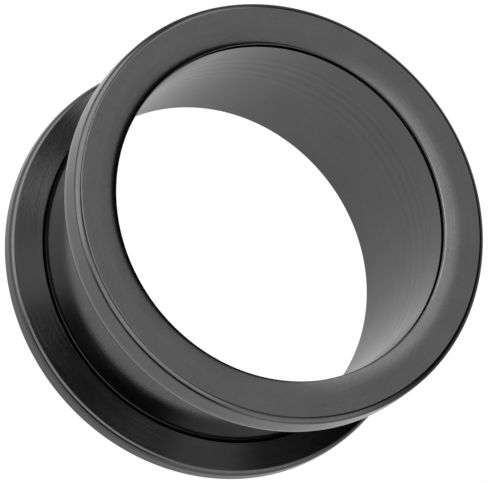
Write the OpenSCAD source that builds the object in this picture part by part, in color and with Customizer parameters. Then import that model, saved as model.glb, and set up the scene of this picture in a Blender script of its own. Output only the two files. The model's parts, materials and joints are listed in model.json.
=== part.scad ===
// Screw-fit ear tunnel of black coated steel, lying on its back flange with its
// axis upright. It is two turned pieces: the front flange with its barrel, and
// the screw back, a flange whose thin threaded tube screws into the barrel.

/* [Gauge] */
// Outer diameter of the barrel, which is the tunnel's gauge
barrel_d = 22; // [10:0.5:40]
// Wearable length, along the barrel between the two flanges
wear_len = 7.5; // [5:0.05:14]

/* [Flanges] */
// How far each flange stands out past the barrel
flange_w = 1.92; // [1.5:0.02:4]
// Thickness of the front flange
front_t = 2.55; // [1.8:0.05:4]
// Thickness of the back flange where the barrel seats on it
back_t = 2.2; // [1.9:0.05:4]
// Thickness that the back flange's inner face slopes down to at the rim
back_rim_t = 1.3; // [1.1:0.05:1.8]

/* [Edges] */
// Width of the soft roll from the front face into the bore
mouth_roll_w = 1.2; // [0.3:0.05:1.6]
// Depth of that roll, down the bore
mouth_roll_d = 0.52; // [0.2:0.02:1.2]
// Width of the rounding between the front face and its rim
face_edge_w = 0.38; // [0.1:0.02:0.8]
// Depth of that rounding, down the rim
face_edge_d = 0.36; // [0.1:0.02:0.8]
// Width of the roll under the front flange's rim
under_edge_w = 0.56; // [0.1:0.02:0.8]
// Depth of that roll, up the rim
under_edge_d = 1.06; // [0.1:0.02:1.3]
// Rounding of both edges of the back flange's rim
back_edge_r = 0.46; // [0.1:0.02:0.6]
// Rounding of the bore's edge at the back
back_mouth_r = 0.32; // [0.1:0.02:0.6]

/* [Screw fit] */
// Wall of the barrel around the thread
sleeve_wall = 0.34; // [0.3:0.02:1.5]
// Wall of the threaded tube on the screw back
tube_wall = 0.34; // [0.3:0.02:1.5]
// Radial clearance of the thread
thread_gap = 0.04; // [0.02:0.01:0.1]
// Depth of the lip in front of the tube, from the front face
lip_depth = 2.6; // [1.5:0.1:4]
// Clearance between the tube's end and the lip
lip_gap = 0.05; // [0.05:0.05:0.5]
// Clearance where the barrel's end seats on the back flange
seat_gap = 0.05; // [0.02:0.01:0.1]
// Bevel around the barrel's end
seat_bevel = 0.15; // [0.1:0.05:0.25]
// Width of the groove in the back flange around the barrel's end
seam_w = 0.2; // [0.1:0.05:0.4]
// Depth of that groove, which shows as the dark seam line
seam_d = 0.15; // [0.05:0.05:0.3]

/* [Hidden] */
$fn = 180;

barrel_r = barrel_d / 2;
flange_r = barrel_r + flange_w;
thread_r = barrel_r - sleeve_wall;
tube_r = thread_r - thread_gap;
bore_r = tube_r - tube_wall;

// Heights above the surface that the tunnel lies on
barrel_end = back_t + seat_gap;
front_base = back_t + wear_len;
front_top = front_base + front_t;
lip_base = front_top - lip_depth;

// Angle at which the back flange's inner face falls outwards
back_slope = atan((back_t - back_rim_t) / flange_w);

// Segments along the roll of one edge
roll_steps = 8;
// How square the roll is at the mouth, above and under the front's rim, and elsewhere, 2 being round
mouth_power = 3.5;
face_power = 1.4;
under_power = 2.5;
plain_power = 2;

// Roll about [x, z] in the half section, from w beside that point to d above it, or less far
function roll(x, z, w, d, power, to = 90) = [
    for (i = [0:roll_steps])
        let (a = to * i / roll_steps)
        [x + w * pow(cos(a), 2 / power), z + d * pow(sin(a), 2 / power)]
];

// The same points from the last to the first
function turned(points) = [for (i = [len(points) - 1:-1:0]) points[i]];

// Height of the back flange's inner face at radius r
function inner_face(r) = back_t - tan(back_slope) * (r - barrel_r);

// Front flange and barrel, turned in one piece and threaded inside
module barrel_front() {
    color("#2b2b2d") rotate_extrude()
        polygon(concat(
            turned(roll(bore_r + mouth_roll_w, front_top - mouth_roll_d,
                        -mouth_roll_w, mouth_roll_d, mouth_power)),
            [[bore_r, lip_base], [thread_r, lip_base], [thread_r, barrel_end],
             [barrel_r - seat_bevel, barrel_end], [barrel_r, barrel_end + seat_bevel],
             [barrel_r, front_base]],
            turned(roll(flange_r - under_edge_w, front_base + under_edge_d,
                        under_edge_w, -under_edge_d, under_power)),
            roll(flange_r - face_edge_w, front_top - face_edge_d,
                 face_edge_w, face_edge_d, face_power)
        ));
}

// Back flange with the tube that screws into the barrel
module screw_back() {
    edge_x = flange_r - back_edge_r;
    edge_z = inner_face(edge_x + back_edge_r * sin(back_slope)) - back_edge_r * cos(back_slope);
    color("#2b2b2d") rotate_extrude()
        polygon(concat(
            roll(bore_r + back_mouth_r, back_mouth_r, -back_mouth_r, -back_mouth_r, plain_power),
            turned(roll(edge_x, back_edge_r, back_edge_r, -back_edge_r, plain_power)),
            roll(edge_x, edge_z, back_edge_r, back_edge_r, plain_power, 90 - back_slope),
            [[barrel_r + seam_w, inner_face(barrel_r + seam_w)],
             [barrel_r + seam_w / 2, inner_face(barrel_r + seam_w) - seam_d],
             [barrel_r, back_t],
             [tube_r, back_t], [tube_r, lip_base - lip_gap], [bore_r, lip_base - lip_gap]]
        ));
}

barrel_front();
screw_back();
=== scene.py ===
# Black steel ear tunnel lying on its back flange, dressed for a studio picture.
import json
import math
import bpy
import bmesh
from mathutils import Matrix, Vector


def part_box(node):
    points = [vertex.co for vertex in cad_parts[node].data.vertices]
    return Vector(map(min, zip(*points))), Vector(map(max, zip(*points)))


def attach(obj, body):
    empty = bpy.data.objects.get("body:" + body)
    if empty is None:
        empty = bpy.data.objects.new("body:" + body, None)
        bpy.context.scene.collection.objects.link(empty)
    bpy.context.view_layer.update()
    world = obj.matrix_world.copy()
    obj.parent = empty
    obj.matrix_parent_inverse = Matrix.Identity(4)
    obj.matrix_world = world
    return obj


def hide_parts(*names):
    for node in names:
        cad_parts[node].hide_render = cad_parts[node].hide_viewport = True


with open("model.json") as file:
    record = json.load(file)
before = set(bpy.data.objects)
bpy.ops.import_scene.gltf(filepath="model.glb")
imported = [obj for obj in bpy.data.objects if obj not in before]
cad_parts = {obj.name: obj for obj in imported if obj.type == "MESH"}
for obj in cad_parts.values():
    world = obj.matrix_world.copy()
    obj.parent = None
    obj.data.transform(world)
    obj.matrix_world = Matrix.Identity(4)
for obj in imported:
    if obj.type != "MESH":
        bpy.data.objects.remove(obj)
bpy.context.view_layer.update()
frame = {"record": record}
mounts = {mount["name"]: mount["dims"] for mount in frame["record"]["mounts"]}
mm = 0.001


def linearColour(hexCode):
    out = []
    for i in (1, 3, 5):
        c = int(hexCode[i:i + 2], 16) / 255
        out.append(c / 12.92 if c <= 0.04045 else ((c + 0.055) / 1.055) ** 2.4)
    return (*out, 1.0)


def addNode(tree, kind, settings=None, links=None):
    node = tree.nodes.new(kind)
    for key, value in (settings or {}).items():
        if isinstance(key, str) and hasattr(node, key):
            setattr(node, key, value)              # a property of the node itself
        else:
            node.inputs[key].default_value = value
    for key, source in (links or {}).items():
        tree.links.new(source, node.inputs[key])
    return node


# Turned pieces: a half section is drawn in the XZ plane, then spun round Z. Places in it are in mm.

turning = {
    "steps": 288,                                  # all the way round
    "found": 0.004,                                # mm, how near a corner is to where it is looked for
    "merged": 0.001,                               # mm, corners closer than this become one
    "closed": 0.0005,                              # mm, the same where the spin meets itself
    "straight": 0.1,                               # degrees, a corner that bends less than this goes
    "sharp": 35,                                   # degrees, an edge that bends more than this stays sharp
}


def editMode(on):
    bpy.ops.object.mode_set(mode="EDIT" if on else "OBJECT")


def pick(kind, test):
    # selects the edges or corners of the open mesh whose middle passes the test
    bpy.ops.mesh.select_mode(type=kind)
    bpy.ops.mesh.select_all(action="DESELECT")
    mesh = bmesh.from_edit_mesh(bpy.context.edit_object.data)
    for part in (mesh.verts if kind == "VERT" else mesh.edges):
        points = [part.co] if kind == "VERT" else [v.co for v in part.verts]
        middle = sum(points, Vector()) / len(points) / mm
        if test(middle.x, middle.z):
            part.select_set(True)
    mesh.select_flush_mode()
    bmesh.update_edit_mesh(bpy.context.edit_object.data)


def near(a, b, reach=0.0):
    return abs(a - b) < reach + turning["found"]


def startSection(name, inner, outer, low, high):
    bpy.ops.object.select_all(action="DESELECT")
    middle = ((inner + outer) / 2 * mm, 0, (low + high) / 2 * mm)
    bpy.ops.mesh.primitive_plane_add(size=1, location=middle, rotation=(math.pi / 2, 0, 0))
    piece = bpy.context.object
    piece.name = name
    piece.scale = ((outer - inner) * mm, (high - low) * mm, 1)
    bpy.ops.object.transform_apply(location=True, rotation=True, scale=True)
    editMode(True)
    return piece


def cutSection(normal, *places):
    for place in places:
        bpy.ops.mesh.select_all(action="SELECT")
        bpy.ops.mesh.bisect(plane_co=Vector(normal) * place * mm, plane_no=normal,
                            threshold=turning["merged"] * mm)


def cutAcross(*places):
    cutSection((1, 0, 0), *places)


def cutLevel(*places):
    cutSection((0, 0, 1), *places)


def extrudeSection(test, right=0.0, up=0.0):
    pick("EDGE", test)
    bpy.ops.mesh.extrude_region_move(TRANSFORM_OT_translate={"value": (right * mm, 0, up * mm)})


def lowerCorner(x, z, drop):
    pick("VERT", lambda vx, vz: near(vx, x) and near(vz, z))
    bpy.ops.transform.translate(value=(0, 0, -drop * mm))


def mergeSection():
    bpy.ops.mesh.select_mode(type="VERT")
    bpy.ops.mesh.select_all(action="SELECT")
    bpy.ops.mesh.remove_doubles(threshold=turning["merged"] * mm)
    bpy.ops.mesh.dissolve_limited(angle_limit=math.radians(turning["straight"]))


def rollCorner(x, z, depth, width=None, power=2.0, steps=10):
    # power 2 gives a round corner, more a squarer one and less a flatter one
    pick("VERT", lambda vx, vz: near(vx, x) and near(vz, z))
    bpy.ops.mesh.bevel(offset_type="OFFSET", offset=depth * mm, segments=steps, profile=0.25 ** (1 / power),
                       affect="VERTICES")
    if width:
        pick("VERT", lambda vx, vz: near(vx, x, depth) and near(vz, z, depth))
        bpy.ops.transform.resize(value=(width / depth, 1, 1), center_override=(x * mm, 0, z * mm))


def resizePiece(piece, factor):
    piece.scale = (factor, factor, factor)
    bpy.ops.object.transform_apply(location=False, rotation=False, scale=True)


def spinSection(piece):
    bpy.ops.mesh.select_mode(type="EDGE")
    bpy.ops.mesh.select_all(action="SELECT")
    bpy.ops.mesh.delete(type="ONLY_FACE")
    bpy.ops.mesh.select_all(action="SELECT")
    bpy.ops.mesh.spin(steps=turning["steps"], angle=math.tau, center=(0, 0, 0), axis=(0, 0, 1))
    bpy.ops.mesh.select_all(action="SELECT")
    bpy.ops.mesh.remove_doubles(threshold=turning["closed"] * mm)
    bpy.ops.mesh.normals_make_consistent(inside=False)
    editMode(False)
    bpy.ops.object.shade_smooth_by_angle(angle=math.radians(turning["sharp"]))
    resizePiece(piece, 1 / mm)                     # faces this small count for nothing in the weighting
    bpy.ops.object.modifier_add(type="WEIGHTED_NORMAL")
    piece.modifiers[-1].keep_sharp = True
    piece.modifiers[-1].weight = 100               # flat faces stay flat right up to their rounded edges
    bpy.ops.object.modifier_apply(modifier=piece.modifiers[-1].name)
    resizePiece(piece, mm)
    print(piece.name, len(piece.data.polygons), "faces")


# Screw back: the flange underneath, whose inner face falls away outwards, and its thin threaded tube.

screwBack = {
    "rim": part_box("screw_back")[1][0] / mm,        # radii, mm
    "bore": mounts["tunnel_bore"]["r_mm"], "tube": 10.62, "barrel": mounts["lobe_seat"]["r_mm"],
    "top": 2.2, "rimTop": 1.3,                     # heights of the inner face, at the barrel and at the rim
    "tubeEnd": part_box("screw_back")[1][2] / mm,
    "seamWidth": 0.2, "seamDepth": 0.15,           # groove around the barrel's end
    "edgeRoll": 0.46, "mouthRoll": 0.32,
}


def makeScrewBack(s):
    piece = startSection("screwBackFlange", s["bore"], s["rim"], 0, s["top"])
    cutAcross(s["barrel"])
    lowerCorner(s["rim"], s["top"], s["top"] - s["rimTop"])
    seam = s["barrel"] + s["seamWidth"] / 2
    cutAcross(seam, s["barrel"] + s["seamWidth"], s["tube"])
    slope = (s["top"] - s["rimTop"]) / (s["rim"] - s["barrel"])
    fall = slope * s["seamWidth"] / 2              # of the slope, from the barrel out to the groove's middle
    lowerCorner(seam, s["top"] - fall, s["seamDepth"] + fall)
    extrudeSection(lambda x, z: near(z, s["top"]) and x < s["tube"], up=s["tubeEnd"] - s["top"])
    mergeSection()
    turn = math.pi / 2 - math.atan(slope)          # how far the edge between slope and rim bends
    rollCorner(s["rim"], s["rimTop"], s["edgeRoll"] * math.tan(turn / 2))
    rollCorner(s["rim"], 0, s["edgeRoll"])
    rollCorner(s["bore"], 0, s["mouthRoll"])
    spinSection(piece)
    return piece


# Front: the flange that faces the camera, with the barrel that the lobe sits on.

frontBarrel = {
    "rim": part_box("barrel_front")[1][0] / mm,      # radii, mm
    "bore": mounts["tunnel_bore"]["r_mm"], "thread": 10.66, "barrel": mounts["lobe_seat"]["r_mm"],
    "lip": 10.35,                                  # where the face's roll ends, just outside the bore
    "groove": 10.45,                               # fine groove under that lip, which shows as a black line
    "top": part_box("barrel_front")[1][2] / mm,      # heights of the face and the barrel's end
    "barrelEnd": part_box("barrel_front")[0][2] / mm,
    "flangeDepth": 2.55, "tubeDepth": 2.64,        # from the face down to the flange's back and to the tube
    "grooveDepths": (0.18, 0.45),
    "mouthRoll": (0.16, 1.13, 1.8, 14),            # depth, width, power and steps of each roll
    "faceRoll": (0.36, 0.38, 1.4, 10),
    "underRoll": (1.06, 0.56, 2.5, 10),
    "seatBevel": 0.15,
}


def makeFrontBarrel(s):
    base = s["top"] - s["flangeDepth"]
    grooveTop, grooveBase = (s["top"] - depth for depth in s["grooveDepths"])
    piece = startSection("frontFlangeBarrel", s["groove"], s["rim"], base, s["top"])
    cutLevel(grooveBase, grooveTop)
    extrudeSection(lambda x, z: near(x, s["groove"]) and z > grooveTop, right=s["lip"] - s["groove"])
    extrudeSection(lambda x, z: near(x, s["groove"]) and z < grooveBase, right=s["bore"] - s["groove"])
    cutAcross(s["thread"], s["barrel"])
    extrudeSection(lambda x, z: near(z, base) and s["thread"] < x < s["barrel"], up=s["barrelEnd"] - base)
    extrudeSection(lambda x, z: near(z, base) and x < s["thread"], up=s["flangeDepth"] - s["tubeDepth"])
    mergeSection()
    rollCorner(s["rim"], s["top"], *s["faceRoll"])
    rollCorner(s["rim"], base, *s["underRoll"])
    rollCorner(s["lip"], s["top"], *s["mouthRoll"])
    rollCorner(s["barrel"], s["barrelEnd"], s["seatBevel"], steps=1)
    spinSection(piece)
    return piece


back = makeScrewBack(screwBack)
front = makeFrontBarrel(frontBarrel)


# Finish: black ion plating over turned and satin-polished stainless steel. The plating is a thin, even film,
# so the eye gets the steel's own soft gloss in dark grey, the rings that the lathe left in it, and in the
# bore the faint spiral of the thread that was cut into the other side of its thin wall.

blackSteel = {
    "deep": "#535454", "pale": "#5f5e5f",          # thick plating, and plating that polishing has thinned
    "roughness": (0.19, 0.12),                     # of the deep and the pale places
    "size": {                                      # mm
        "patches": 2.6,
        "grain": 0.16,                             # polishing grit of about 0.02, drawn coarser to show
        "rings": 0.14,                             # the lathe's feed of about 0.05, drawn coarser to show
    },
    "detail": {"patches": 4.0, "grain": 1.0, "rings": 2.0},
    "noiseRoughness": 0.6, "noiseMiddle": (0.3, 0.7),
    "drift": 0.03,                                 # how far the rings wander, so that none is perfect
    "pitch": 0.95,                                 # mm, of the thread
    "boreMarks": {"heights": (6.5, 9.7), "radii": (10.2, 10.45)},      # mm, where the thread shows through
    "thread": {"heights": (2.9, 9.2), "radii": (10.55, 10.75)},        # mm, on the tube and in the barrel
    "fade": {"heights": 0.475, "radii": 0.05},     # mm, how softly both of these end
    "wear": {"patches": 0.55, "rings": 0.35, "grain": 0.45, "boreMarks": 0.6},
    "relief": {"rings": 0.0006, "grain": 0.0004, "boreMarks": 0.0012, "thread": 0.05},       # mm
}


def spiralMarks(tree, place, radius, s, key):
    # a wave that climbs one pitch on each way round, and fades out past its heights and radii
    turn = addNode(tree, "ShaderNodeMath", {"operation": "ARCTAN2"}, {
        0: place.outputs["Y"], 1: place.outputs["X"]})
    climb = addNode(tree, "ShaderNodeMath", {"operation": "MULTIPLY_ADD", 1: math.tau / (s["pitch"] * mm)}, {
        0: place.outputs["Z"], 2: turn.outputs[0]})
    wave = addNode(tree, "ShaderNodeMath", {"operation": "SINE"}, {0: climb.outputs[0]})
    for way, source in (("heights", place.outputs["Z"]), ("radii", radius)):
        low, high = s[key][way]
        fade = s["fade"][way]
        for start, end in ((low - fade, low + fade), (high + fade, high - fade)):
            mask = addNode(tree, "ShaderNodeMapRange", {
                "interpolation_type": "SMOOTHSTEP", "From Min": start * mm, "From Max": end * mm}, {
                "Value": source})
            wave = addNode(tree, "ShaderNodeMath", {"operation": "MULTIPLY"}, {
                0: wave.outputs[0], 1: mask.outputs[0]})
    return wave.outputs[0]


def addUp(tree, marks, amounts):
    total = None
    for key, amount in amounts.items():
        step = addNode(tree, "ShaderNodeMath", {"operation": "MULTIPLY_ADD", 1: amount, 2: 0.0}, {
            0: marks[key]})
        if total:
            tree.links.new(total, step.inputs[2])
        total = step.outputs[0]
    return total


def blackPlatedSteel(name, s):
    material = bpy.data.materials.new(name)
    material.use_nodes = True
    tree = material.node_tree
    tree.nodes.clear()
    spot = addNode(tree, "ShaderNodeTexCoord").outputs["Object"]
    place = addNode(tree, "ShaderNodeSeparateXYZ", None, {0: spot})
    flat = addNode(tree, "ShaderNodeVectorMath", {"operation": "MULTIPLY", 1: (1, 1, 0)}, {0: spot})
    away = addNode(tree, "ShaderNodeVectorMath", {"operation": "LENGTH"}, {0: flat.outputs[0]})
    radius = away.outputs["Value"]

    # noise over radius and height alone makes rings round the axis
    section = addNode(tree, "ShaderNodeCombineXYZ", None, {"X": radius, "Y": place.outputs["Z"]})
    aroundAxis = addNode(tree, "ShaderNodeVectorMath", {
        "operation": "MULTIPLY_ADD", 1: (s["drift"],) * 3}, {0: spot, 2: section.outputs[0]})
    marks = {key: spiralMarks(tree, place, radius, s, key) for key in ("boreMarks", "thread")}
    low, high = s["noiseMiddle"]                   # noise keeps to its middle, so it is drawn apart
    for key, vector in (("patches", spot), ("grain", spot), ("rings", aroundAxis.outputs[0])):
        noise = addNode(tree, "ShaderNodeTexNoise", {
            "Scale": 1 / (s["size"][key] * mm), "Detail": s["detail"][key],
            "Roughness": s["noiseRoughness"]}, {"Vector": vector})
        apart = addNode(tree, "ShaderNodeMapRange", {"From Min": low, "From Max": high, "To Min": -1.0}, {
            "Value": noise.outputs[0]})
        marks[key] = apart.outputs[0]

    wear = addUp(tree, marks, s["wear"])
    share = addNode(tree, "ShaderNodeMapRange", {"From Min": -1.0}, {"Value": wear})
    colour = addNode(tree, "ShaderNodeMix", {
        "data_type": "RGBA", 6: linearColour(s["deep"]), 7: linearColour(s["pale"])}, {0: share.outputs[0]})
    deepRough, paleRough = s["roughness"]
    rough = addNode(tree, "ShaderNodeMapRange", {
        "From Min": -1.0, "To Min": deepRough, "To Max": paleRough}, {"Value": wear})
    height = addUp(tree, marks, {key: depth * mm for key, depth in s["relief"].items()})
    bump = addNode(tree, "ShaderNodeBump", {"Strength": 1.0, "Distance": 1.0}, {"Height": height})
    surface = addNode(tree, "ShaderNodeBsdfPrincipled", {"Metallic": 1.0}, {
        "Base Color": colour.outputs[2], "Roughness": rough.outputs[0], "Normal": bump.outputs[0]})
    addNode(tree, "ShaderNodeOutputMaterial", None, {"Surface": surface.outputs["BSDF"]})
    return material


steel = blackPlatedSteel("blackPlatedSteel", blackSteel)
for piece, body, node, slot in ((back, "back", "screw_back", "black_steel_back"),
                                (front, "front", "barrel_front", "black_steel_front")):
    piece.data.materials.append(steel)
    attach(piece, body)
    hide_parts(node)
print("pieces dressed")


# Floor: opal light table. It burns out to white in the picture, as in a packshot, with a trace of shade left.

lightTable = {
    "size": 4.0,                                   # metres across
    "albedo": 0.25,                                # what it returns of the light from above
    "glow": 0.56,                                  # what it shines up itself, into the bore as well
    "farGlow": 0.06, "fade": (13.0, 21.0),         # the same past the tunnel's far side, mm along +Y
    "white": 1.08, "burntOut": 0.9,                # level and share of plain white that the camera sees
}


def makeFloor(s):
    bpy.ops.object.select_all(action="DESELECT")
    bpy.ops.mesh.primitive_plane_add(size=s["size"], location=(0, 0, 0))
    floor = bpy.context.object
    floor.name = "paleFloor"
    opal = bpy.data.materials.new("opalAcrylic")
    opal.use_nodes = True
    tree = opal.node_tree
    tree.nodes.clear()
    path = addNode(tree, "ShaderNodeLightPath")
    lit = addNode(tree, "ShaderNodeBsdfDiffuse", {"Color": (s["albedo"], s["albedo"], s["albedo"], 1)})
    spot = addNode(tree, "ShaderNodeTexCoord").outputs["Object"]
    along = addNode(tree, "ShaderNodeSeparateXYZ", None, {0: spot}).outputs["Y"]
    start, end = (y * mm for y in s["fade"])
    level = addNode(tree, "ShaderNodeMapRange", {
        "interpolation_type": "SMOOTHSTEP", "From Min": start, "From Max": end,
        "To Min": s["glow"], "To Max": s["farGlow"]}, {"Value": along})
    glow = addNode(tree, "ShaderNodeEmission", {"Color": (1, 1, 1, 1)}, {"Strength": level.outputs[0]})
    table = addNode(tree, "ShaderNodeAddShader", None, {0: lit.outputs[0], 1: glow.outputs[0]})
    plain = addNode(tree, "ShaderNodeEmission", {"Color": (1, 1, 1, 1), "Strength": s["white"]})
    share = addNode(tree, "ShaderNodeMath", {"operation": "MULTIPLY", 1: s["burntOut"]}, {
        0: path.outputs["Is Camera Ray"]})
    mixed = addNode(tree, "ShaderNodeMixShader", None, {
        0: share.outputs[0], 1: table.outputs[0], 2: plain.outputs[0]})
    addNode(tree, "ShaderNodeOutputMaterial", None, {"Surface": mixed.outputs[0]})
    floor.data.materials.append(opal)


# Studio light: soft panels on a dark room's dome, each painted over the ones before it.
# az is the bearing from +Y towards +X and off the angle from overhead, half sizes in degrees.

studioLight = {
    "room": 0.02,
    "background": 1.0,                             # what the camera itself sees past the floor
    "panels": [
        {"name": "overheadScrim", "az": 338, "off": 12.5, "wide": 25, "tall": 43, "soft": 0.1, "level": 0.92},
        {"name": "upperLeftBox", "az": 292, "off": 22, "wide": 15, "tall": 19, "soft": 0.35, "level": 5.0},
        {"name": "leftMidPanel", "az": 242, "off": 31, "wide": 22, "tall": 5.5, "soft": 0.5, "level": 0.55},
        {"name": "rightMidPanel", "az": 104, "off": 38, "wide": 11, "tall": 13, "soft": 0.5, "level": 0.35},
        {"name": "leftStrip", "az": 319, "off": 34, "wide": 13, "tall": 55, "soft": 0.4, "level": 2.0},
        {"name": "frontPanel", "az": 173, "off": 50, "wide": 44, "tall": 22, "soft": 0.35, "level": 1.85},
        {"name": "lowLeftStrip", "az": 255, "off": 76, "wide": 43, "tall": 29, "soft": 0.25, "level": 2.45},
        {"name": "lowRightStrip", "az": 104, "off": 77, "wide": 32, "tall": 26, "soft": 0.5, "level": 1.3},
        {"name": "lensFlag", "az": 173, "off": 24, "wide": 28, "tall": 7, "soft": 0.4, "level": 0.0},
        {"name": "lowFrontFlag", "az": 160, "off": 90, "wide": 31, "tall": 24, "soft": 0.3, "level": 0.0},
    ],
}


def lightStudio(s):
    world = bpy.data.worlds.new("studioWorld")
    bpy.context.scene.world = world
    world.use_nodes = True
    tree = world.node_tree
    tree.nodes.clear()
    towards = addNode(tree, "ShaderNodeTexCoord").outputs["Generated"]
    level = None
    for panel in s["panels"]:
        az, off, wide, tall = (math.radians(panel[key]) for key in ("az", "off", "wide", "tall"))
        middle = Vector((math.sin(off) * math.sin(az), math.sin(off) * math.cos(az), math.cos(off)))
        levelSide = Vector((-math.cos(az), math.sin(az), 0))
        turned = Matrix((middle, levelSide, middle.cross(levelSide))).transposed().to_euler()
        local = addNode(tree, "ShaderNodeMapping", {
            "vector_type": "TEXTURE", "Location": middle, "Rotation": turned,
            "Scale": (1, math.sin(wide), math.sin(tall))}, {"Vector": towards})
        reach = addNode(tree, "ShaderNodeVectorMath", {"operation": "LENGTH"}, {0: local.outputs[0]})
        mask = addNode(tree, "ShaderNodeMapRange", {
            "interpolation_type": "SMOOTHSTEP",
            "From Min": 1 + panel["soft"], "From Max": 1 - panel["soft"]}, {"Value": reach.outputs["Value"]})
        painted = addNode(tree, "ShaderNodeMix", {2: s["room"], 3: panel["level"]}, {0: mask.outputs[0]})
        if level:
            tree.links.new(level, painted.inputs[2])
        level = painted.outputs[0]
    path = addNode(tree, "ShaderNodeLightPath")
    seen = addNode(tree, "ShaderNodeMix", {3: s["background"]}, {
        0: path.outputs["Is Camera Ray"], 2: level})
    glow = addNode(tree, "ShaderNodeBackground", {"Color": (1, 1, 1, 1)}, {"Strength": seen.outputs[0]})
    addNode(tree, "ShaderNodeOutputWorld", None, {"Surface": glow.outputs[0]})


makeFloor(lightTable)
lightStudio(studioLight)
print("floor and light set")


# Camera: looks down on the front flange from the -Y side, rolled so that the far side is at the upper right.

pictureCamera = {
    "tilt": 28.34,                                 # degrees between the bore's axis and the view
    "roll": -38.78,
    "distance": 600.1,                             # mm from the front face
    "lens": 755.7, "sensor": 36,                   # mm
    "right": 2.24, "up": 1.775,                    # where the front face's centre stands in the picture, mm
    "clip": (0.05, 10),                            # metres
}


def placeCamera(s):
    tilt, roll = math.radians(s["tilt"]), math.radians(s["roll"])
    along = Vector((0, math.cos(tilt), math.sin(tilt)))
    across = Vector((1, 0, 0))
    toCamera = Vector((0, -math.sin(tilt), math.cos(tilt)))
    right = math.cos(roll) * along - math.sin(roll) * across
    up = -(math.sin(roll) * along + math.cos(roll) * across)
    face = Vector((0, 0, frontBarrel["top"]))
    place = (face - right * s["right"] - up * s["up"] + toCamera * s["distance"]) * mm
    data = bpy.data.cameras.new("pictureCamera")
    data.lens, data.sensor_width = s["lens"], s["sensor"]
    data.clip_start, data.clip_end = s["clip"]
    camera = bpy.data.objects.new("pictureCamera", data)
    bpy.context.scene.collection.objects.link(camera)
    camera.matrix_world = Matrix.Translation(place) @ Matrix((right, up, toCamera)).transposed().to_4x4()
    bpy.context.scene.camera = camera


placeCamera(pictureCamera)
bpy.context.scene.view_settings.view_transform = "Standard"
print("camera placed")
